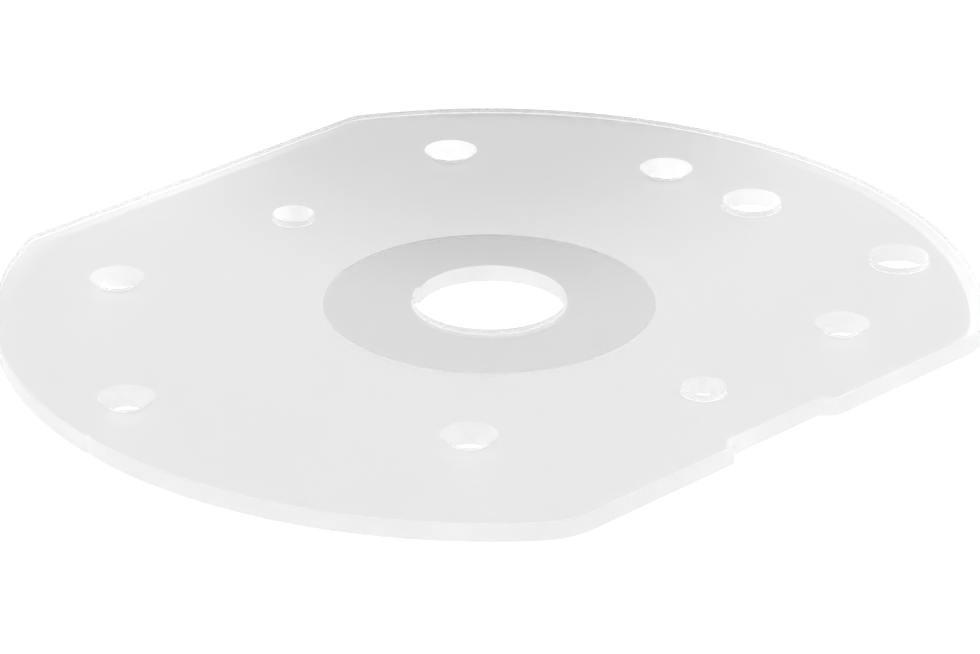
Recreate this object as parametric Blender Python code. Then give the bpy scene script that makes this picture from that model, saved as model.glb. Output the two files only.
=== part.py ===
"""Router base plate: one clear moulded plate that screws to the foot of a hand router.

It lies on its router side with its work side up. X runs along the two flats and Y towards the
far flat. The origin is at the middle of the plate's box, on the surface that the plate lies on,
so the axis of the router bit passes a little nearer to the near flat than the origin.
Lengths are in metres and angles in degrees. A bearing turns from +X towards +Y.
"""

import math

import bmesh
import bpy

# The plate
OUTER_DIAMETER = 0.1524
THICKNESS = 0.003
FAR_FLAT_CUT = 0.0086
NEAR_FLAT_CUT = 0.0146
FAR_CORNER_RADIUS = 0.004
NEAR_CORNER_RADIUS = 0.012
ROUTER_EDGE_ROUNDING = 0.0003
WORK_EDGE_BREAK = 0.00025

# The notch in the near flat, whose two ends slope at 45 degrees
NOTCH_FLOOR_WIDTH = 0.0188
NOTCH_DEPTH = 0.002
NOTCH_CORNER_EASE = 0.0005

# The bit hole, the land that grows inwards along its wall and then stops, and the polished window
BIT_HOLE_DIAMETER = 0.0236
LAND_DEPTH = 0.0006
LAND_START = 39.0
LAND_END = 117.0
WINDOW_WIDTH = 0.0138
WINDOW_DEPTH = 0.0003

# The screw holes: a 90 degree countersink above a straight bore
SCREW_HEAD_DIAMETER = 0.0086
SCREW_BORE_DIAMETER = 0.0056

# The straight holes for a guide and other accessories
LARGE_HOLE_DIAMETER = 0.0093
SMALL_HOLE_DIAMETER = 0.0065

# How far the centre of each kind of hole lies inside the plate's round rim
COMMON_SCREW_INSET = 0.01795
LEFT_SCREW_INSET = 0.0118
NEAR_LEFT_SCREW_INSET = 0.0281
NEAR_RIGHT_SCREW_INSET = 0.0217
INNER_LARGE_INSET = 0.0197
OUTER_LARGE_INSET = 0.01
SMALL_INSET = 0.03155

# Each hole's inset and bearing, seen from the bit axis
SCREW_PLACES = (
    (COMMON_SCREW_INSET, 15.3),
    (COMMON_SCREW_INSET, 51.3),
    (COMMON_SCREW_INSET, 128.1),
    (LEFT_SCREW_INSET, 168.7),
    (NEAR_LEFT_SCREW_INSET, 221.5),
    (NEAR_RIGHT_SCREW_INSET, 305.2),
)
LARGE_PLACES = (
    (INNER_LARGE_INSET, -3.3),
    (OUTER_LARGE_INSET, -31.2),
)
SMALL_PLACES = (
    (SMALL_INSET, 89.6),
    (SMALL_INSET, -89.6),
)

# The witness that the mould's gate left on the rim
GATE_BEARING = 175.0
GATE_WIDTH = 0.0013
GATE_DEPTH = 0.0003

# How far a cutter runs past what it cuts
OVERRUN = 0.001

# Facets: degrees of arc in one facet of the rim and of a corner, and facets round a hole
RIM_STEP = 3.0
CORNER_STEP = 4.5
EASE_FACETS = 2
ROUNDING_FACETS = 2
BIT_HOLE_FACETS = 120
HOLE_FACETS = 48
SHARP_ANGLE = 30.0

# Sizes that follow from those above
OUTER_RADIUS = OUTER_DIAMETER / 2
FAR_FLAT = OUTER_RADIUS - FAR_FLAT_CUT
NEAR_FLAT = OUTER_RADIUS - NEAR_FLAT_CUT
BIT_HOLE_RADIUS = BIT_HOLE_DIAMETER / 2
WINDOW_RADIUS = BIT_HOLE_RADIUS + WINDOW_WIDTH
BIT_AXIS_Y = (NEAR_FLAT - FAR_FLAT) / 2

# Clear plastic: its colour, roughness, index and how much light it lets through
PLASTIC_COLOUR = (0.86, 0.87, 0.87, 1.0)
PLASTIC_ROUGHNESS = 0.12
PLASTIC_INDEX = 1.585
PLASTIC_TRANSMISSION = 0.9


def clear_scene():
    for obj in list(bpy.data.objects):
        bpy.data.objects.remove(obj)


def clear_plastic():
    """The plate's one material."""
    material = bpy.data.materials.new("clear_plastic")
    material.use_nodes = True
    material.diffuse_color = PLASTIC_COLOUR
    shader = material.node_tree.nodes["Principled BSDF"]
    shader.inputs["Base Color"].default_value = PLASTIC_COLOUR
    shader.inputs["Roughness"].default_value = PLASTIC_ROUGHNESS
    shader.inputs["Metallic"].default_value = 0.0
    shader.inputs["IOR"].default_value = PLASTIC_INDEX
    shader.inputs["Transmission Weight"].default_value = PLASTIC_TRANSMISSION
    return material


def on_circle(radius, bearing, centre=(0.0, 0.0)):
    turn = math.radians(bearing)
    return centre[0] + radius * math.cos(turn), centre[1] + radius * math.sin(turn)


def arc(radius, start, end, steps, centre=(0.0, 0.0)):
    """Points along an arc, with both of its ends."""
    bearings = (start + (end - start) * step / steps for step in range(steps + 1))
    return [on_circle(radius, bearing, centre) for bearing in bearings]


def corner(flat, radius):
    """The centre of the fillet between the rim and a flat, and the bearing where it meets the rim."""
    rise = flat - radius
    run = math.sqrt((OUTER_RADIUS - radius) ** 2 - rise**2)
    return run, rise, math.degrees(math.atan2(rise, run))


def right_half():
    """The right half of the outline, from the notch in the near flat up to the far flat."""
    near_run, near_rise, near_bearing = corner(NEAR_FLAT, NEAR_CORNER_RADIUS)
    far_run, far_rise, far_bearing = corner(FAR_FLAT, FAR_CORNER_RADIUS)
    half_floor = NOTCH_FLOOR_WIDTH / 2
    near_steps = round((90.0 - near_bearing) / CORNER_STEP)
    far_steps = round((90.0 - far_bearing) / CORNER_STEP)
    rim_steps = round((near_bearing + far_bearing) / RIM_STEP)
    near_centre = (near_run, -near_rise)
    far_centre = (far_run, far_rise)
    points = [(half_floor, NOTCH_DEPTH - NEAR_FLAT), (half_floor + NOTCH_DEPTH, -NEAR_FLAT)]
    points += arc(NEAR_CORNER_RADIUS, -90.0, -near_bearing, near_steps, near_centre)
    points += arc(OUTER_RADIUS, -near_bearing, far_bearing, rim_steps)[1:-1]
    points += arc(FAR_CORNER_RADIUS, far_bearing, 90.0, far_steps, far_centre)
    return points


def new_object(name, bm):
    """An object whose mesh is the given shape, with its faces pointing out."""
    bmesh.ops.recalc_face_normals(bm, faces=bm.faces)
    mesh = bpy.data.meshes.new(name)
    bm.to_mesh(mesh)
    bm.free()
    obj = bpy.data.objects.new(name, mesh)
    bpy.context.scene.collection.objects.link(obj)
    return obj


def raise_face(bm, face, height):
    """Turns a flat face into a solid of the given height."""
    raised = bmesh.ops.extrude_face_region(bm, geom=[face], use_keep_orig=True)["geom"]
    top = [item for item in raised if isinstance(item, bmesh.types.BMVert)]
    bmesh.ops.translate(bm, verts=top, vec=(0.0, 0.0, height))


def edges_at(bm, level, margin):
    """The edges that lie all along at one level."""
    return [
        edge for edge in bm.edges
        if all(abs(vert.co.z - level) < margin for vert in edge.verts)
    ]


def blank():
    """The plate without its holes, with its rim eased above and rounded below."""
    bm = bmesh.new()
    half = right_half()
    outline = half + [(-x, y) for x, y in reversed(half)]
    verts = [bm.verts.new((x, y, 0.0)) for x, y in outline]
    bm.faces.new(verts)
    notch = [verts[0], verts[1], verts[-2], verts[-1]]
    bmesh.ops.bevel(
        bm, geom=notch, offset=NOTCH_CORNER_EASE, segments=EASE_FACETS,
        profile=0.5, affect="VERTICES", material=-1,
    )
    bm.faces.ensure_lookup_table()
    raise_face(bm, bm.faces[0], THICKNESS)
    margin = WORK_EDGE_BREAK / 2
    bmesh.ops.bevel(
        bm, geom=edges_at(bm, 0.0, margin), offset=ROUTER_EDGE_ROUNDING,
        segments=ROUNDING_FACETS, profile=0.5, affect="EDGES", material=-1,
    )
    bmesh.ops.bevel(
        bm, geom=edges_at(bm, THICKNESS, margin), offset=WORK_EDGE_BREAK,
        segments=1, profile=0.5, affect="EDGES", material=-1,
    )
    return new_object("base_plate", bm)


def place(inset, bearing):
    """A hole's centre, from its inset and bearing."""
    return on_circle(OUTER_RADIUS - inset, bearing)


def add_prism(bm, outline, bottom, top):
    """Adds a closed upright prism on an outline."""
    face = bm.faces.new([bm.verts.new((x, y, bottom)) for x, y in outline])
    raise_face(bm, face, top - bottom)


def add_turned(bm, profile, centre):
    """Adds a closed turned shape: rings at the profile's radii and heights, bridged and capped."""
    rings = []
    for radius, height in profile:
        outline = arc(radius, 0.0, 360.0, HOLE_FACETS, centre)[:-1]
        verts = [bm.verts.new((x, y, height)) for x, y in outline]
        rings.append([bm.edges.new((verts[index - 1], verts[index])) for index in range(HOLE_FACETS)])
    for lower, upper in zip(rings, rings[1:]):
        bmesh.ops.bridge_loops(bm, edges=lower + upper)
    bmesh.ops.contextual_create(bm, geom=rings[0])
    bmesh.ops.contextual_create(bm, geom=rings[-1])


def bit_hole_cutter():
    """The bit hole, whose wall comes inwards along the land and steps back at its end."""
    step = 360.0 / BIT_HOLE_FACETS
    land_steps = round((LAND_END - LAND_START) / step)
    plain_steps = BIT_HOLE_FACETS - land_steps
    outline = [
        on_circle(BIT_HOLE_RADIUS - LAND_DEPTH * index / land_steps, LAND_START + step * index)
        for index in range(land_steps + 1)
    ]
    outline += arc(BIT_HOLE_RADIUS, LAND_END, LAND_START + 360.0, plain_steps)[:-1]
    bm = bmesh.new()
    add_prism(bm, outline, -OVERRUN, THICKNESS + OVERRUN)
    return new_object("bit_hole_cutter", bm)


def window_cutter():
    """The shallow polished window on the router side."""
    bm = bmesh.new()
    outline = arc(WINDOW_RADIUS, 0.0, 360.0, BIT_HOLE_FACETS)[:-1]
    add_prism(bm, outline, -OVERRUN, WINDOW_DEPTH)
    return new_object("window_cutter", bm)


def screw_cutter():
    """All the countersunk screw holes."""
    head = SCREW_HEAD_DIAMETER / 2
    bore = SCREW_BORE_DIAMETER / 2
    shoulder = THICKNESS - (head - bore)
    profile = (
        (bore, -OVERRUN),
        (bore, shoulder),
        (head + OVERRUN, THICKNESS + OVERRUN),
    )
    bm = bmesh.new()
    for inset, bearing in SCREW_PLACES:
        add_turned(bm, profile, place(inset, bearing))
    return new_object("screw_cutter", bm)


def straight_cutter(name, diameter, places):
    """All the straight holes of one size."""
    profile = ((diameter / 2, -OVERRUN), (diameter / 2, THICKNESS + OVERRUN))
    bm = bmesh.new()
    for inset, bearing in places:
        add_turned(bm, profile, place(inset, bearing))
    return new_object(name, bm)


def gate_cutter():
    """The small flat witness on the rim."""
    bm = bmesh.new()
    half = GATE_WIDTH / 2
    inner = OUTER_RADIUS - GATE_DEPTH
    outer = OUTER_RADIUS + OVERRUN
    square = ((inner, -half), (outer, -half), (outer, half), (inner, half))
    turn = math.radians(GATE_BEARING)
    outline = [
        (x * math.cos(turn) - y * math.sin(turn), x * math.sin(turn) + y * math.cos(turn))
        for x, y in square
    ]
    add_prism(bm, outline, -OVERRUN, THICKNESS + OVERRUN)
    return new_object("gate_cutter", bm)


def cut(plate, cutter):
    """Cuts one shape out of the plate, and hides the cutter."""
    modifier = plate.modifiers.new(cutter.name, "BOOLEAN")
    modifier.operation = "DIFFERENCE"
    modifier.solver = "EXACT"
    modifier.object = cutter
    cutter.hide_render = True
    cutter.display_type = "WIRE"


def main():
    clear_scene()
    plate = blank()
    plate.data.materials.append(clear_plastic())
    cutters = (
        bit_hole_cutter(),
        window_cutter(),
        screw_cutter(),
        straight_cutter("large_hole_cutter", LARGE_HOLE_DIAMETER, LARGE_PLACES),
        straight_cutter("small_hole_cutter", SMALL_HOLE_DIAMETER, SMALL_PLACES),
        gate_cutter(),
    )
    for cutter in cutters:
        cut(plate, cutter)
        cutter.location.y = BIT_AXIS_Y
    plate.location.y = BIT_AXIS_Y
    plate.data.shade_smooth()
    plate.data.set_sharp_from_angle(angle=math.radians(SHARP_ANGLE))


main()
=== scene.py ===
"""Dresses the router base plate for its picture: clear moulded plastic lying on a white table.

Run as a script it builds the whole scene. As an add-on its panel would build each piece alone.
Lengths are in metres and the frame is the part's own, with the plate lying on the plane Z = 0.
"""

import math

import bmesh
import bpy
from mathutils import Matrix, Vector


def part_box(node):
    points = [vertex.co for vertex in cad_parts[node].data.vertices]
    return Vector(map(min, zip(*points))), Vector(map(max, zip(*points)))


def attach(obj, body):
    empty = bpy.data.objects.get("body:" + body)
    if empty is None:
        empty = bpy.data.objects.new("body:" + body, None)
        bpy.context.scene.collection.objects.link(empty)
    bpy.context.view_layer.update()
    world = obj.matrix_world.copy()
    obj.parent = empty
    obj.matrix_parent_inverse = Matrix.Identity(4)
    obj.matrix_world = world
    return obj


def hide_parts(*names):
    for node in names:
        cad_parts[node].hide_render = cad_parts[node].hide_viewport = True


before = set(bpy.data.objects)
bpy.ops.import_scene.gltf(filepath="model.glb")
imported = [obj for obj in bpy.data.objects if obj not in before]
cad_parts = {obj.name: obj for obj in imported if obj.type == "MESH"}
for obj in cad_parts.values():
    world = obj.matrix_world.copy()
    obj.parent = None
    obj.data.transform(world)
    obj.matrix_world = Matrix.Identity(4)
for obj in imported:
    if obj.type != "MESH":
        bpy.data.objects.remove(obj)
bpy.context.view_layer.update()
PLATE_LOW, PLATE_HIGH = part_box("base_plate")

bl_info = {
    "name": "Router base plate",
    "version": (1, 0, 0),
    "blender": (4, 5, 0),
    "location": "3D View > Sidebar > Base plate",
    "description": "Models a clear router base plate on a white table",
    "category": "Object",
}

NODE = "base_plate"
BODY = "root"
FINISHES = ("work_face", "router_face", "window", "rim", "hole_wall", "bit_wall")


class PlateSizes(bpy.types.PropertyGroup):
    """The plate, its flats, its notch and its edges."""

    outer_diameter: bpy.props.FloatProperty(
        name="Outer diameter", description="Across the round rim", default=0.1524, unit="LENGTH"
    )
    thickness: bpy.props.FloatProperty(
        name="Thickness", description="From the router side to the work side",
        default=PLATE_HIGH[2] - PLATE_LOW[2], unit="LENGTH",
    )
    far_flat_cut: bpy.props.FloatProperty(
        name="Far flat cut", description="How much the far flat takes off the circle",
        default=0.0086, unit="LENGTH",
    )
    near_flat_cut: bpy.props.FloatProperty(
        name="Near flat cut", description="How much the near flat takes off the circle",
        default=0.0146, unit="LENGTH",
    )
    far_corner: bpy.props.FloatProperty(
        name="Far corner", description="Radius where the far flat meets the rim",
        default=0.004, unit="LENGTH",
    )
    near_corner: bpy.props.FloatProperty(
        name="Near corner", description="Radius where the near flat meets the rim",
        default=0.012, unit="LENGTH",
    )
    lower_rounding: bpy.props.FloatProperty(
        name="Lower rounding", description="Radius of the rim's router-side edge",
        default=0.0003, unit="LENGTH",
    )
    upper_break: bpy.props.FloatProperty(
        name="Upper break", description="Radius of the rim's work-side edge",
        default=0.00025, unit="LENGTH",
    )
    notch_floor: bpy.props.FloatProperty(
        name="Notch floor", description="Width of the notch at its floor",
        default=0.0188, unit="LENGTH",
    )
    notch_depth: bpy.props.FloatProperty(
        name="Notch depth", description="Depth of the notch in the near flat",
        default=0.002, unit="LENGTH",
    )
    notch_corner: bpy.props.FloatProperty(
        name="Notch corner", description="Radius of the notch's corners",
        default=0.0005, unit="LENGTH",
    )
    gate_depth: bpy.props.FloatProperty(
        name="Gate depth", description="Depth of the mould gate's witness on the rim",
        default=0.0003, unit="LENGTH",
    )
    gate_bearing: bpy.props.FloatProperty(
        name="Gate bearing", description="Where the gate's witness is",
        default=math.radians(175.0), subtype="ANGLE",
    )


class HoleSizes(bpy.types.PropertyGroup):
    """The bit hole, its window, the screw holes and the straight holes."""

    bit_hole: bpy.props.FloatProperty(
        name="Bit hole", description="Diameter of the bit hole", default=0.0236, unit="LENGTH"
    )
    land_depth: bpy.props.FloatProperty(
        name="Land depth", description="How far the bit hole's wall comes inwards along its land",
        default=0.0006, unit="LENGTH",
    )
    window_width: bpy.props.FloatProperty(
        name="Window width", description="Width of the polished ring round the bit hole",
        default=0.0138, unit="LENGTH",
    )
    window_depth: bpy.props.FloatProperty(
        name="Window depth", description="How far the window is sunk into the router side",
        default=0.0003, unit="LENGTH",
    )
    screw_head: bpy.props.FloatProperty(
        name="Screw head", description="Diameter of a countersink's mouth",
        default=0.0086, unit="LENGTH",
    )
    screw_bore: bpy.props.FloatProperty(
        name="Screw bore", description="Diameter of a screw hole's bore",
        default=0.0056, unit="LENGTH",
    )
    large_hole: bpy.props.FloatProperty(
        name="Large hole", description="Diameter of the larger straight holes",
        default=0.0093, unit="LENGTH",
    )
    small_hole: bpy.props.FloatProperty(
        name="Small hole", description="Diameter of the smaller straight holes",
        default=0.0065, unit="LENGTH",
    )
    edge_break: bpy.props.FloatProperty(
        name="Edge break", description="Radius of a hole's edge on the work side",
        default=0.00003, unit="LENGTH",
    )
    lower_break: bpy.props.FloatProperty(
        name="Lower break", description="Radius of a hole's edge on the router side",
        default=0.0002, unit="LENGTH",
    )


class PlasticLook(bpy.types.PropertyGroup):
    """The clear plastic, whose grey tints on some of its faces are painted shade."""

    clear_tint: bpy.props.FloatVectorProperty(
        name="Clear tint", description="Colour of the light that crosses the work face and the rim",
        subtype="COLOR", default=(1.0, 1.0, 1.0), min=0.0, max=1.0,
    )
    # Painted shade: the router side's grey tint darkens the table seen through it, standing in for
    # the plate's shadow
    router_face_painted_shade: bpy.props.FloatVectorProperty(
        name="Router face painted shade", description="Colour of the light that crosses the frosted router side",
        subtype="COLOR", default=(0.72, 0.72, 0.72), min=0.0, max=1.0,
    )
    # Painted shade: the window's grey tint darkens the table seen through it, standing in for the
    # plate's shadow on the table
    window_painted_shade: bpy.props.FloatVectorProperty(
        name="Window painted shade", description="Colour of the light that crosses the polished window",
        subtype="COLOR", default=(0.6, 0.6, 0.6), min=0.0, max=1.0,
    )
    wall_tint: bpy.props.FloatVectorProperty(
        name="Wall tint", description="Colour of the light that crosses the small holes' walls",
        subtype="COLOR", default=(1.0, 1.0, 1.0), min=0.0, max=1.0,
    )
    # Painted shade: the bit hole's clear wall is tinted grey so that it looks darker
    bit_wall_painted_shade: bpy.props.FloatVectorProperty(
        name="Bit wall painted shade", description="Colour of the light that crosses the bit hole's wall",
        subtype="COLOR", default=(0.84, 0.84, 0.84), min=0.0, max=1.0,
    )
    index: bpy.props.FloatProperty(
        name="Index", description="The plastic's index of refraction", default=1.585
    )
    polish: bpy.props.FloatProperty(
        name="Polish", description="Roughness of the gloss surfaces", default=0.03, subtype="FACTOR"
    )
    frost: bpy.props.FloatProperty(
        name="Frost", description="Roughness of the frosted router side",
        default=0.35, subtype="FACTOR",
    )
    satin: bpy.props.FloatProperty(
        name="Satin", description="Roughness of the rim and the bit hole's wall",
        default=0.5, subtype="FACTOR",
    )
    hole_satin: bpy.props.FloatProperty(
        name="Hole satin", description="Roughness of the small holes' walls",
        default=0.5, subtype="FACTOR",
    )


class TableLook(bpy.types.PropertyGroup):
    """The table, the light and the camera."""

    camera_place: bpy.props.FloatVectorProperty(
        name="Camera place", description="Where the camera stands",
        subtype="XYZ", default=(-0.49029, -0.49240, 0.32096), unit="LENGTH",
    )
    camera_aim: bpy.props.FloatVectorProperty(
        name="Camera aim", description="The point that the camera looks at",
        subtype="XYZ", default=(-0.00771, -0.01083, 0.003), unit="LENGTH",
    )
    camera_roll: bpy.props.FloatProperty(
        name="Camera roll", description="How far the camera's right side is raised",
        default=math.radians(0.17), subtype="ANGLE",
    )
    lens: bpy.props.FloatProperty(
        name="Lens", description="Focal length in millimetres on a 36 mm sensor", default=181.75
    )
    table_radius: bpy.props.FloatProperty(
        name="Table radius", description="How far the table reaches", default=3.0, unit="LENGTH"
    )
    table_gap: bpy.props.FloatProperty(
        name="Table gap", description="Air between the plate and the table",
        default=0.0001, unit="LENGTH",
    )
    table_lift: bpy.props.FloatProperty(
        name="Table lift", description="Light that the table adds where the camera sees it direct",
        default=0.35,
    )
    table_lift_open: bpy.props.FloatProperty(
        name="Open table lift",
        description="Light that the table round the plate adds in the plastic",
        default=0.42,
    )
    # Painted light: the table glows in a ring under the plate's edge, standing in for the light
    # that the rim throws down
    painted_edge_light: bpy.props.FloatVectorProperty(
        name="Painted edge light", description="Light that the table adds all round under the plate's edge, "
        "where the rim throws light down on it",
        size=8, default=(0.0, 0.2, 0.4, 0.4, 0.28, 0.08, 0.12, 0.4),
    )
    # Where the painted light under the plate's edge starts on the table
    painted_light_share: bpy.props.FloatProperty(
        name="Painted light share", description="Where that edge starts, as a share of the way out",
        default=0.969, subtype="FACTOR",
    )
    # Painted shadow: the table under the plate glows far less than the open table, standing in for
    # the plate's shadow on it
    painted_shadow_lift: bpy.props.FloatProperty(
        name="Painted shadow lift",
        description="Light that the table under the plate adds in the plastic",
        default=0.08,
    )


class LightLook(bpy.types.PropertyGroup):
    """The room's soft light. A ring holds the brightness at one height in the eight directions of
    RING, and the two heights above the rings are even all round."""

    low_ring: bpy.props.FloatVectorProperty(
        name="Low ring", description="Brightness all round, near the table",
        size=8, default=(0.80, 0.80, 0.80, 0.66, 0.43, 0.74, 0.80, 0.80),
    )
    middle_ring: bpy.props.FloatVectorProperty(
        name="Middle ring", description="Brightness all round, a little higher",
        size=8, default=(0.74, 1.00, 1.00, 0.62, 0.27, 0.75, 1.00, 1.00),
    )
    upper_ring: bpy.props.FloatVectorProperty(
        name="Upper ring", description="Brightness all round, at about 27 degrees",
        size=8, default=(1.12, 1.40, 1.34, 0.79, 0.37, 0.87, 1.40, 1.06),
    )
    high: bpy.props.FloatProperty(
        name="High", description="Brightness at about 40 degrees", default=1.16
    )
    top: bpy.props.FloatProperty(name="Top", description="Brightness overhead", default=1.02)
    gap_place: bpy.props.FloatVectorProperty(
        name="Gap place", description="Where the dim gap behind the plate is: across, away and up",
        size=3, default=(0.0, 0.0, 0.378),
    )
    gap_size: bpy.props.FloatVectorProperty(
        name="Gap size", description="How far the dim gap reaches, across and up",
        size=2, default=(0.08, 0.043),
    )
    gap_light: bpy.props.FloatProperty(
        name="Gap light", description="Share of the light that is left in the middle of the gap",
        default=0.0, subtype="FACTOR",
    )


# How far the centre of each kind of hole lies inside the round rim
HOLE_INSETS = {
    "common_screw": 0.01795,
    "left_screw": 0.0118,
    "near_left_screw": 0.0281,
    "near_right_screw": 0.0217,
    "inner_large": 0.0197,
    "outer_large": 0.01,
    "small": 0.03155,
}
# Each hole's kind, and its bearing from the bit axis in degrees
SCREW_PLACES = (
    ("common_screw", 15.3),
    ("common_screw", 51.3),
    ("common_screw", 128.1),
    ("left_screw", 168.7),
    ("near_left_screw", 221.5),
    ("near_right_screw", 305.2),
)
LARGE_PLACES = (("inner_large", -3.3), ("outer_large", -31.2))
SMALL_PLACES = (("small", 89.6), ("small", -89.6))
# Where the land on the bit hole's wall starts and ends
LAND = (math.radians(39.0), math.radians(117.0))
# The slope of the notch's ends
NOTCH_SLOPE = math.pi / 4

# Turn in one facet of the rim and of a corner, facets round a circle, and facets in a rounding
RIM_STEP = math.radians(0.5)
CORNER_STEP = math.radians(4.0)
HOLE_SIDES = 96
BIT_HOLE_SIDES = 240
TABLE_SIDES = 64
ROUND_STEPS = 8
BREAK_STEPS = 3
# How far the gate's witness reaches to each side
GATE_REACH = RIM_STEP * 1.2
# Edges that turn by more than this stay sharp
SHARP_ANGLE = math.radians(25.0)
# Points nearer than this become one where the two halves of an outline meet
MERGE_DISTANCE = 0.0000025

# Fine patterns: the size of a spot, how much detail it has, and its scale along each axis,
# where a low number draws it out
EVEN = (1.0, 1.0, 1.0)
HANDLING_HAZE = (0.012, 6.0, EVEN)
MOULD_WAVES = (0.03, 1.0, EVEN)
FROST_CLOUDS = (0.0008, 4.0, EVEN)
FROST_GRAINS = (0.0003, 3.0, EVEN)
WINDOW_HAZE = (0.006, 4.0, EVEN)
RIM_STREAKS = (0.0012, 4.0, (1.0, 1.0, 0.3))
HOLE_CLOUDS = (0.002, 3.0, EVEN)
BORED_STREAKS = (0.003, 4.0, (0.2, 0.2, 1.0))
PAPER_FIBRES = (0.0006, 3.0, EVEN)
PAPER_SHADES = (0.89, 0.91)
# Nearly all of such a pattern lies between these values
PATTERN_LOW = 0.3
PATTERN_HIGH = 0.7
# The least and the most roughness of a surface, as shares of its usual one
HANDLED = (0.5, 1.5)
POLISHED = (0.3, 1.0)
MOULDED = (0.9, 1.1)
# How far the patterns stand out
WAVE_RISE = 0.000004
GRAIN_RISE = 0.000004
CUTTER_RISE = 0.0000004
# The cutter's rings in the window: their pitch, and how much they wander
CUTTER_PITCH = 0.0006
CUTTER_WANDER = 1.0
CUTTER_WANDER_SCALE = 0.5
# A wave pattern of scale one has this many radians to the metre
WAVE_UNIT = 20.0

# Light crosses the whole plate inside it, so it is followed through many bounces
LIGHT_BOUNCES = 40
# The heights of the light's values, as sines of the elevation
LIGHT_HEIGHTS = (0.1, 0.28, 0.45, 0.65, 0.9)
# The directions of a ring's values, and the fixed turn between them and the part's own axes
RING = ("back", "back right", "right", "front right", "front", "front left", "left", "back left")
RING_TURN = math.pi / 4
# Share of the gap's size that is at its dimmest
GAP_CORE = 0.3
# The nearest and the farthest that the camera sees
CAMERA_REACH = (0.01, 100.0)


def along(heading):
    return Vector((math.cos(heading), math.sin(heading), 0.0))


def pen_line(bm, vert, heading, length):
    """Draws a straight edge from a point, and returns its far end."""
    made = bmesh.ops.extrude_vert_indiv(bm, verts=[vert])["verts"]
    bmesh.ops.translate(bm, verts=made, vec=along(heading) * length)
    return made[0]


def pen_arc(bm, vert, heading, radius, turn, steps):
    """Draws an arc that turns by an angle, left where it is positive. Returns its far end."""
    side = math.copysign(1.0, turn)
    centre = vert.co + along(heading + side * math.pi / 2) * radius
    made = bmesh.ops.spin(
        bm, geom=[vert], cent=centre, axis=(0.0, 0.0, 1.0), dvec=(0.0, 0.0, 0.0),
        angle=turn, steps=steps,
    )
    return next(item for item in made["geom_last"] if isinstance(item, bmesh.types.BMVert))


def steps_for(turn, step):
    return max(2, round(abs(turn) / step))


def corner(radius, flat, bend):
    """Where a flat's rounded corner starts on the flat, and its bearing on the rim."""
    run = math.sqrt((radius - bend) ** 2 - (flat - bend) ** 2)
    return run, math.atan2(flat - bend, run)


def rim_loop(bm, sizes, inset, height):
    """Draws the plate's outline at one height, moved inwards by the inset. Returns its edges."""
    before = set(bm.edges)
    radius = sizes.outer_diameter / 2
    far = radius - sizes.far_flat_cut
    near = radius - sizes.near_flat_cut
    far_corner = sizes.far_corner
    near_corner = sizes.near_corner
    notch_corner = sizes.notch_corner
    far_run, far_bearing = corner(radius, far, far_corner)
    near_run, near_bearing = corner(radius, near, near_corner)
    ease = notch_corner * math.tan(NOTCH_SLOPE / 2)
    floor = sizes.notch_floor / 2
    end = sizes.notch_depth / math.sin(NOTCH_SLOPE)
    mouth = floor + sizes.notch_depth
    turns = (
        (floor - ease, -NOTCH_SLOPE, notch_corner + inset, CORNER_STEP),
        (end - 2 * ease, NOTCH_SLOPE, notch_corner - inset, CORNER_STEP),
        (near_run - mouth - ease, math.pi / 2 - near_bearing, near_corner - inset, CORNER_STEP),
        (0.0, near_bearing + far_bearing, radius - inset, RIM_STEP),
        (0.0, math.pi / 2 - far_bearing, far_corner - inset, CORNER_STEP),
    )
    heading = 0.0
    vert = bm.verts.new((0.0, sizes.notch_depth - near + inset, height))
    start = vert
    for length, turn, bend, step in turns:
        if length > 0.0:
            vert = pen_line(bm, vert, heading, length)
        vert = pen_arc(bm, vert, heading, bend, turn, steps_for(turn, step))
        heading += turn
    vert = pen_line(bm, vert, heading, far_run)
    vert.co.x = 0.0
    start.co.x = 0.0
    edges = [edge for edge in bm.edges if edge not in before]
    verts = {vert for edge in edges for vert in edge.verts}
    half = list(verts) + edges
    bmesh.ops.mirror(bm, geom=half, matrix=Matrix(), merge_dist=MERGE_DISTANCE, axis="X")
    return [edge for edge in bm.edges if edge not in before]


def round_loop(bm, centre, radius, height, sides):
    """Draws a circle at one height and returns its edges."""
    place = Matrix.Translation((centre[0], centre[1], height))
    made = bmesh.ops.create_circle(
        bm, cap_ends=False, radius=radius, segments=sides, matrix=place
    )
    return list({edge for vert in made["verts"] for edge in vert.link_edges})


def quarter(radius, steps):
    """A quarter round from a face to a wall: how far each point is inside the wall and below the
    face."""
    angles = (math.pi / 2 * step / steps for step in range(steps + 1))
    return [(radius * (1 - math.sin(a)), radius * (1 - math.cos(a))) for a in angles]


def wall(bm, loops, finish):
    """Joins a stack of loops with bands of faces."""
    for upper, lower in zip(loops, loops[1:]):
        faces = bmesh.ops.bridge_loops(bm, edges=upper + lower)["faces"]
        for face in faces:
            face.material_index = FINISHES.index(finish)
            face.smooth = True


def sheet(bm, loops, finish):
    """Fills the space between loops that lie in one plane."""
    edges = [edge for loop in loops for edge in loop]
    made = bmesh.ops.triangle_fill(bm, use_beauty=True, use_dissolve=False, edges=edges)["geom"]
    for face in made:
        if isinstance(face, bmesh.types.BMFace):
            face.material_index = FINISHES.index(finish)
            face.smooth = False


def straight_profile(diameter, holes, thickness, floor=0.0):
    """The radii and heights down a straight hole, with both of its edges broken."""
    radius = diameter / 2
    top = [(radius + out, thickness - down) for out, down in quarter(holes.edge_break, BREAK_STEPS)]
    bottom = [(radius + out, floor + down) for out, down in quarter(holes.lower_break, BREAK_STEPS)]
    return top + bottom[::-1]


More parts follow.
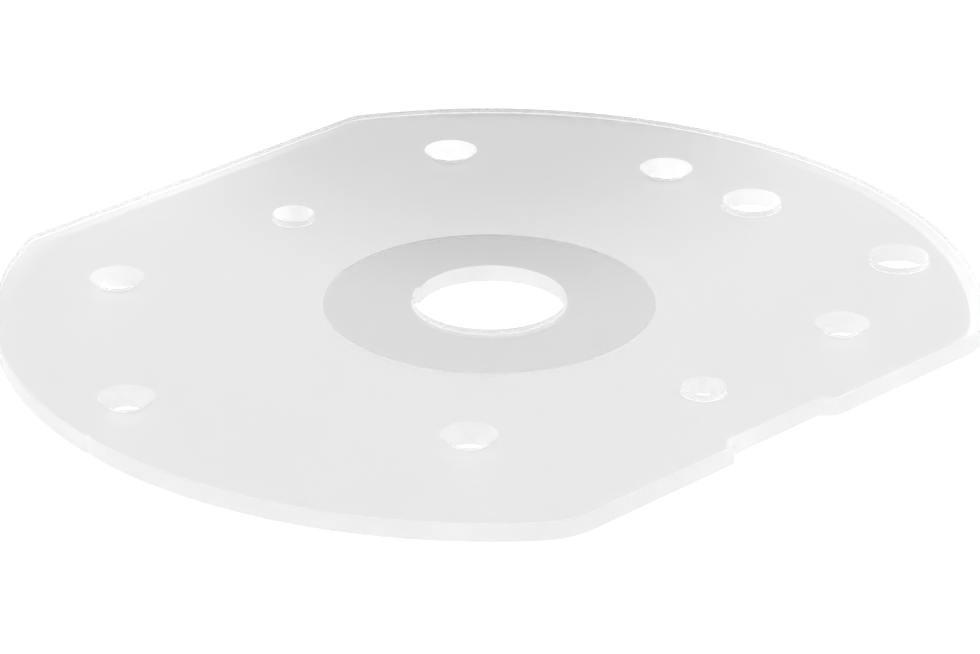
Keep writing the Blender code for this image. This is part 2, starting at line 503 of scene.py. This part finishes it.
def screw_profile(holes, thickness):
    """The radii and heights down a countersunk screw hole."""
    head = holes.screw_head / 2
    bore = holes.screw_bore / 2
    ease = holes.edge_break
    shoulder = thickness - (head - bore)
    bottom = [(bore + out, down) for out, down in quarter(holes.lower_break, BREAK_STEPS)]
    return [
        (head + ease, thickness),
        (head, thickness - ease / 2),
        (bore + ease, shoulder + ease),
        (bore, shoulder - ease),
    ] + bottom[::-1]


def hole(bm, centre, profile, sides, finish):
    """Makes a hole's wall and returns its top and bottom loops."""
    loops = [round_loop(bm, centre, radius, height, sides) for radius, height in profile]
    wall(bm, loops, finish)
    return loops[0], loops[-1]


def add_land(loops, depth):
    """Brings the bit hole's wall inwards along its land, which grows and then stops."""
    start, end = LAND
    for vert in {vert for loop in loops for edge in loop for vert in edge.verts}:
        bearing = math.atan2(vert.co.y, vert.co.x)
        if start < bearing < end + RIM_STEP / 2:
            vert.co -= along(bearing) * depth * min(1.0, (bearing - start) / (end - start))


def mark_gate(loops, sizes):
    """Presses the mould gate's small witness into the rim."""
    for vert in {vert for loop in loops for edge in loop for vert in edge.verts}:
        bearing = math.atan2(vert.co.y, vert.co.x)
        if abs(bearing - sizes.gate_bearing) < GATE_REACH:
            vert.co += along(bearing + math.pi) * sizes.gate_depth


def place_of(name, bearing, radius):
    return along(math.radians(bearing)) * (radius - HOLE_INSETS[name])


def bit_axis_y(sizes):
    """Where the bit axis is in the part's own frame, nearer to the notched flat."""
    return PLATE_LOW[1] + sizes.outer_diameter / 2 - sizes.near_flat_cut


def plate_mesh(sizes, holes):
    """The whole plate as one closed mesh, about the bit axis."""
    bm = bmesh.new()
    thick = sizes.thickness
    radius = sizes.outer_diameter / 2
    upper = [(inset, thick - down) for inset, down in quarter(sizes.upper_break, BREAK_STEPS)]
    lower = [(inset, down) for inset, down in quarter(sizes.lower_rounding, ROUND_STEPS)]
    rim = [rim_loop(bm, sizes, inset, height) for inset, height in upper + lower[::-1]]
    mark_gate(rim, sizes)
    wall(bm, rim, "rim")
    tops, bottoms = [rim[0]], [rim[-1]]

    kinds = (
        (SCREW_PLACES, screw_profile(holes, thick)),
        (LARGE_PLACES, straight_profile(holes.large_hole, holes, thick)),
        (SMALL_PLACES, straight_profile(holes.small_hole, holes, thick)),
    )
    for places, profile in kinds:
        for name, bearing in places:
            centre = place_of(name, bearing, radius)
            top, bottom = hole(bm, centre, profile, HOLE_SIDES, "hole_wall")
            tops.append(top)
            bottoms.append(bottom)

    origin = (0.0, 0.0)
    bit = straight_profile(holes.bit_hole, holes, thick, holes.window_depth)
    bit_loops = [round_loop(bm, origin, r, z, BIT_HOLE_SIDES) for r, z in bit]
    add_land(bit_loops, holes.land_depth)
    wall(bm, bit_loops, "bit_wall")
    tops.append(bit_loops[0])

    window = holes.bit_hole / 2 + holes.window_width
    step = [
        round_loop(bm, origin, window, holes.window_depth, BIT_HOLE_SIDES),
        round_loop(bm, origin, window + holes.edge_break, 0.0, BIT_HOLE_SIDES),
    ]
    wall(bm, step, "window")
    bottoms.append(step[-1])
    sheet(bm, tops, "work_face")
    sheet(bm, bottoms, "router_face")
    sheet(bm, [bit_loops[-1], step[0]], "window")

    bmesh.ops.recalc_face_normals(bm, faces=bm.faces)
    for edge in bm.edges:
        if len(edge.link_faces) == 2:
            flat = [not face.smooth for face in edge.link_faces]
            edge.smooth = flat[0] == flat[1] and edge.calc_face_angle(0.0) < SHARP_ANGLE
    bmesh.ops.translate(bm, verts=bm.verts, vec=(0.0, bit_axis_y(sizes), PLATE_LOW[2]))
    mesh = bpy.data.meshes.new("clear_base_plate")
    bm.to_mesh(mesh)
    bm.free()
    return mesh


def new_material(name):
    material = bpy.data.materials.new(name)
    material.use_nodes = True
    return material, material.node_tree, material.node_tree.nodes["Principled BSDF"]


def own_place(tree, centre, stretch):
    """The piece's own coordinates, taken from a centre and drawn out along the axes."""
    mapping = tree.nodes.new("ShaderNodeMapping")
    mapping.inputs["Scale"].default_value = stretch
    mapping.inputs["Location"].default_value = [-c * s for c, s in zip(centre, stretch)]
    tree.links.new(tree.nodes.new("ShaderNodeTexCoord").outputs["Object"], mapping.inputs["Vector"])
    return mapping.outputs["Vector"]


def grain(tree, pattern):
    """A cloudy pattern from zero to one."""
    size, detail, stretch = pattern
    noise = tree.nodes.new("ShaderNodeTexNoise")
    noise.inputs["Scale"].default_value = 1 / size
    noise.inputs["Detail"].default_value = detail
    tree.links.new(own_place(tree, (0.0, 0.0, 0.0), stretch), noise.inputs["Vector"])
    return noise.outputs["Fac"]


def cutter_rings(tree, centre):
    """Fine even rings about a centre, from zero to one."""
    wave = tree.nodes.new("ShaderNodeTexWave")
    wave.wave_type = "RINGS"
    wave.rings_direction = "Z"
    wave.inputs["Scale"].default_value = 2 * math.pi / (WAVE_UNIT * CUTTER_PITCH)
    wave.inputs["Distortion"].default_value = CUTTER_WANDER
    wave.inputs["Detail Scale"].default_value = CUTTER_WANDER_SCALE
    tree.links.new(own_place(tree, centre, EVEN), wave.inputs["Vector"])
    return wave.outputs["Fac"]


def roughen(tree, shader, pattern, roughness, shares):
    """Lets the roughness go up and down with a cloudy pattern."""
    low, high = shares
    node = tree.nodes.new("ShaderNodeMapRange")
    node.inputs["From Min"].default_value = PATTERN_LOW
    node.inputs["From Max"].default_value = PATTERN_HIGH
    node.inputs["To Min"].default_value = roughness * low
    node.inputs["To Max"].default_value = roughness * high
    tree.links.new(grain(tree, pattern), node.inputs["Value"])
    tree.links.new(node.outputs["Result"], shader.inputs["Roughness"])


def raise_surface(tree, shader, heights, rise):
    """Makes a pattern stand out of the surface."""
    node = tree.nodes.new("ShaderNodeBump")
    node.inputs["Distance"].default_value = rise
    tree.links.new(heights, node.inputs["Height"])
    tree.links.new(node.outputs["Normal"], shader.inputs["Normal"])


def plastic(name, look, tint):
    """Clear plastic, with its surface still to be finished. A grey tint on it is painted shade."""
    material, tree, shader = new_material(name)
    shader.inputs["Base Color"].default_value = (*tint, 1.0)
    shader.inputs["IOR"].default_value = look.index
    shader.inputs["Transmission Weight"].default_value = 1.0
    return material, tree, shader


def work_face_plastic(look):
    """The mould's polish, with its slight waviness and the faint haze of handling."""
    material, tree, shader = plastic("plastic_work_face", look, look.clear_tint)
    roughen(tree, shader, HANDLING_HAZE, look.polish, HANDLED)
    raise_surface(tree, shader, grain(tree, MOULD_WAVES), WAVE_RISE)
    return material


def router_face_plastic(look):
    """The frosted router side: an even fine grain. Its grey tint is painted shade, standing for the
    plate's shadow on the table.
    """
    material, tree, shader = plastic("plastic_router_face", look, look.router_face_painted_shade)
    roughen(tree, shader, FROST_CLOUDS, look.frost, MOULDED)
    raise_surface(tree, shader, grain(tree, FROST_GRAINS), GRAIN_RISE)
    return material


def window_plastic(look):
    """The polished window, with the faint rings that its cutter left. Its grey tint is painted
    shade.
    """
    material, tree, shader = plastic("plastic_window", look, look.window_painted_shade)
    roughen(tree, shader, WINDOW_HAZE, look.polish, POLISHED)
    centre = (0.0, bit_axis_y(bpy.context.scene.plate_sizes), 0.0)
    raise_surface(tree, shader, cutter_rings(tree, centre), CUTTER_RISE)
    return material


def rim_plastic(look):
    """The satin rim, drawn a little along the mould's opening."""
    material, tree, shader = plastic("plastic_rim", look, look.clear_tint)
    roughen(tree, shader, RIM_STREAKS, look.satin, MOULDED)
    return material


def hole_wall_plastic(look):
    """The small holes' walls, moulded nearly smooth."""
    material, tree, shader = plastic("plastic_hole_wall", look, look.wall_tint)
    roughen(tree, shader, HOLE_CLOUDS, look.hole_satin, MOULDED)
    return material


def bit_wall_plastic(look):
    """The bit hole's satin wall, which was bored after moulding. Its grey tint is painted shade."""
    material, tree, shader = plastic("plastic_bit_wall", look, look.bit_wall_painted_shade)
    roughen(tree, shader, BORED_STREAKS, look.satin, MOULDED)
    return material


MAKERS = {
    "work_face": work_face_plastic,
    "router_face": router_face_plastic,
    "window": window_plastic,
    "rim": rim_plastic,
    "hole_wall": hole_wall_plastic,
    "bit_wall": bit_wall_plastic,
}


class BASEPLATE_OT_plate(bpy.types.Operator):
    """Builds the clear plate in place of its plain solid"""

    bl_idname = "baseplate.plate"
    bl_label = "Plate"

    def execute(self, context):
        scene = context.scene
        mesh = plate_mesh(scene.plate_sizes, scene.hole_sizes)
        for finish in FINISHES:
            mesh.materials.append(MAKERS[finish](scene.plastic_look))
        plate = bpy.data.objects.new("clear_base_plate", mesh)
        scene.collection.objects.link(plate)
        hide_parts(NODE)
        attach(plate, BODY)
        return {"FINISHED"}


def join(tree, operation, first, second):
    """A node that adds two inputs, or does another sum with them."""
    node = tree.nodes.new("ShaderNodeMath")
    node.operation = operation
    for socket, value in zip(node.inputs, (first, second)):
        if isinstance(value, float):
            socket.default_value = value
        else:
            tree.links.new(value, socket)
    return node.outputs["Value"]


def join_vector(tree, operation, source, values):
    """A node that does a sum with a vector and three fixed values."""
    node = tree.nodes.new("ShaderNodeVectorMath")
    node.operation = operation
    node.inputs[1].default_value = values
    tree.links.new(source, node.inputs[0])
    return node.outputs["Vector"]


def ring_place(tree, vector):
    """Turns a place or direction into the rings' own directions, which are fixed in the room.

    Returns it with its height and its turn, which goes from zero to one, front to front.
    """
    node = tree.nodes.new("ShaderNodeVectorRotate")
    node.rotation_type = "Z_AXIS"
    node.inputs["Angle"].default_value = RING_TURN
    tree.links.new(vector, node.inputs["Vector"])
    split = tree.nodes.new("ShaderNodeSeparateXYZ")
    tree.links.new(node.outputs["Vector"], split.inputs["Vector"])
    across, away, height = split.outputs
    bearing = join(tree, "ARCTAN2", across, away)
    turn = join(tree, "ADD", join(tree, "DIVIDE", bearing, 2 * math.pi), 0.5)
    return node.outputs["Vector"], height, turn


def ring_light(tree, turn, strengths):
    """The brightness all round, from the brightness in each direction of RING."""
    ramp = tree.nodes.new("ShaderNodeValToRGB")
    stops = ramp.color_ramp.elements
    half = len(strengths) // 2
    around = [strengths[(half + index) % len(strengths)] for index in range(len(strengths) + 1)]
    while len(stops) < len(around):
        stops.new(0.5)
    peak = max(strengths)
    for index, strength in enumerate(around):
        stops[index].position = index / len(strengths)
        stops[index].color = (strength / peak, strength / peak, strength / peak, 1.0)
    tree.links.new(turn, ramp.inputs["Fac"])
    return join(tree, "MULTIPLY", ramp.outputs["Color"], float(peak))


def blend(tree, height, low, high, below, above):
    """A node that goes from one brightness to another between two heights."""
    node = tree.nodes.new("ShaderNodeMapRange")
    node.inputs["From Min"].default_value = low
    node.inputs["From Max"].default_value = high
    for socket, value in ((node.inputs["To Min"], below), (node.inputs["To Max"], above)):
        if isinstance(value, float):
            socket.default_value = value
        else:
            tree.links.new(value, socket)
    tree.links.new(height, node.inputs["Value"])
    return node.outputs["Result"]


def light_world(light):
    """Soft light from the whole room, set for each direction and height, with a dim gap behind."""
    world = bpy.data.worlds.new("studio")
    world.use_nodes = True
    tree = world.node_tree
    background = tree.nodes["Background"]
    background.inputs["Color"].default_value = (1.0, 1.0, 1.0, 1.0)
    direction = tree.nodes.new("ShaderNodeTexCoord").outputs["Generated"]
    turned, height, turn = ring_place(tree, direction)
    rings = (light.low_ring, light.middle_ring, light.upper_ring)
    levels = [ring_light(tree, turn, ring) for ring in rings]
    levels += [float(light.high), float(light.top)]
    total = levels[0]
    for low, high, above in zip(LIGHT_HEIGHTS, LIGHT_HEIGHTS[1:], levels[1:]):
        total = blend(tree, height, low, high, total, above)

    offset = join_vector(tree, "SUBTRACT", turned, light.gap_place)
    wide, high = light.gap_size
    scaled = join_vector(tree, "MULTIPLY", offset, (1 / wide, 0.0, 1 / high))
    distance = tree.nodes.new("ShaderNodeVectorMath")
    distance.operation = "LENGTH"
    tree.links.new(scaled, distance.inputs[0])
    gap = tree.nodes.new("ShaderNodeMapRange")
    gap.interpolation_type = "SMOOTHSTEP"
    gap.inputs["From Min"].default_value = GAP_CORE
    gap.inputs["To Min"].default_value = light.gap_light
    tree.links.new(distance.outputs["Value"], gap.inputs["Value"])
    strength = join(tree, "MULTIPLY", total, gap.outputs["Result"])
    tree.links.new(strength, background.inputs["Strength"])
    bpy.context.scene.world = world


def table_material(name, look, lifts_and_painted_light):
    """White paper that adds a little light to what the camera sees, and to what the plastic shows
    in each direction of RING. Under the plate's edge this is painted light, and under the plate
    its low level is a painted shadow."""
    material, tree, shader = new_material(name)
    fibres = tree.nodes.new("ShaderNodeValToRGB")
    for stop, shade in zip(fibres.color_ramp.elements, PAPER_SHADES):
        stop.color = (shade, shade, shade, 1.0)
    tree.links.new(grain(tree, PAPER_FIBRES), fibres.inputs["Fac"])
    tree.links.new(fibres.outputs["Color"], shader.inputs["Base Color"])
    shader.inputs["Roughness"].default_value = 1.0
    shader.inputs["Specular IOR Level"].default_value = 0.0
    path = tree.nodes.new("ShaderNodeLightPath").outputs
    plastic_rays = join(tree, "MAXIMUM", path["Is Glossy Ray"], path["Is Transmission Ray"])
    straight = join(tree, "MULTIPLY", path["Is Camera Ray"], look.table_lift)
    centre = (0.0, bit_axis_y(bpy.context.scene.plate_sizes), 0.0)
    turn = ring_place(tree, own_place(tree, centre, EVEN))[2]
    # What the plastic shows of the table: an even glow round the plate, painted light under its
    # edge and a painted shadow under it
    through = join(tree, "MULTIPLY", plastic_rays, ring_light(tree, turn, lifts_and_painted_light))
    shader.inputs["Emission Color"].default_value = (1.0, 1.0, 1.0, 1.0)
    tree.links.new(join(tree, "ADD", straight, through), shader.inputs["Emission Strength"])
    return material


def table_mesh(look, sizes):
    """The table as one flat sheet in three parts: round the plate, under its edge with painted
    light, and inside that with a painted shadow.
    """
    bm = bmesh.new()
    # Outline of the painted shadow under the plate, inside the ring of painted light
    inner = rim_loop(bm, sizes, 0.0, 0.0)
    bmesh.ops.scale(bm, verts=bm.verts, vec=(look.painted_light_share, look.painted_light_share, 1.0))
    outline = rim_loop(bm, sizes, 0.0, 0.0)
    limit = round_loop(bm, (0.0, 0.0), look.table_radius, 0.0, TABLE_SIDES)
    for index, edges in enumerate((outline + limit, outline + inner, inner)):
        made = bmesh.ops.triangle_fill(bm, use_beauty=True, use_dissolve=False, edges=edges)["geom"]
        for face in made:
            if isinstance(face, bmesh.types.BMFace):
                face.material_index = index
    bm.normal_update()
    for face in bm.faces:
        if face.normal.z < 0.0:
            face.normal_flip()
    place = (0.0, bit_axis_y(sizes), PLATE_LOW[2] - look.table_gap)
    bmesh.ops.translate(bm, verts=bm.verts, vec=place)
    mesh = bpy.data.meshes.new("table")
    bm.to_mesh(mesh)
    bm.free()
    return mesh


def place_camera(look):
    camera = bpy.data.cameras.new("photo_camera")
    camera.lens = look.lens
    camera.clip_start, camera.clip_end = CAMERA_REACH
    obj = bpy.data.objects.new("photo_camera", camera)
    bpy.context.scene.collection.objects.link(obj)
    place = Vector(look.camera_place)
    ahead = (Vector(look.camera_aim) - place).normalized()
    level = ahead.cross(Vector((0.0, 0.0, 1.0))).normalized()
    right = level * math.cos(look.camera_roll) + level.cross(ahead) * math.sin(look.camera_roll)
    up = right.cross(ahead)
    obj.matrix_world = Matrix((
        (right.x, up.x, -ahead.x, place.x),
        (right.y, up.y, -ahead.y, place.y),
        (right.z, up.z, -ahead.z, place.z),
        (0.0, 0.0, 0.0, 1.0),
    ))
    bpy.context.scene.camera = obj


class BASEPLATE_OT_stage(bpy.types.Operator):
    """Builds the white table, the light and the camera"""

    bl_idname = "baseplate.stage"
    bl_label = "Stage"

    def execute(self, context):
        scene = context.scene
        look = scene.table_look
        mesh = table_mesh(look, scene.plate_sizes)
        # The open table glows evenly, the edge part with painted light, and the part under the
        # plate less, as a painted shadow
        parts = {
            "open": [look.table_lift_open] * len(RING),
            "edge": list(look.painted_edge_light),
            "under": [look.painted_shadow_lift] * len(RING),
        }
        for part, lifts_and_painted_light in parts.items():
            mesh.materials.append(table_material("white_table_" + part, look, lifts_and_painted_light))
        table = bpy.data.objects.new("table", mesh)
        scene.collection.objects.link(table)
        light_world(scene.light_look)
        place_camera(look)
        scene.view_settings.view_transform = "Standard"
        scene.cycles.blur_glossy = 0.0
        scene.cycles.max_bounces = LIGHT_BOUNCES
        scene.cycles.transmission_bounces = LIGHT_BOUNCES
        scene.cycles.glossy_bounces = LIGHT_BOUNCES
        return {"FINISHED"}


class BASEPLATE_PT_panel(bpy.types.Panel):
    """Lists the pieces that the add-on builds"""

    bl_idname = "BASEPLATE_PT_panel"
    bl_label = "Base plate"
    bl_space_type = "VIEW_3D"
    bl_region_type = "UI"
    bl_category = "Base plate"

    def draw(self, context):
        for operator in (BASEPLATE_OT_plate, BASEPLATE_OT_stage):
            self.layout.operator(operator.bl_idname)


GROUPS = {
    "plate_sizes": PlateSizes,
    "hole_sizes": HoleSizes,
    "plastic_look": PlasticLook,
    "table_look": TableLook,
    "light_look": LightLook,
}
CLASSES = (*GROUPS.values(), BASEPLATE_OT_plate, BASEPLATE_OT_stage, BASEPLATE_PT_panel)


def register():
    for item in CLASSES:
        bpy.utils.register_class(item)
    for name, group in GROUPS.items():
        setattr(bpy.types.Scene, name, bpy.props.PointerProperty(type=group))


def unregister():
    for name in GROUPS:
        delattr(bpy.types.Scene, name)
    for item in reversed(CLASSES):
        bpy.utils.unregister_class(item)


def main():
    register()
    bpy.ops.baseplate.plate()
    bpy.ops.baseplate.stage()


if __name__ == "__main__":
    main()
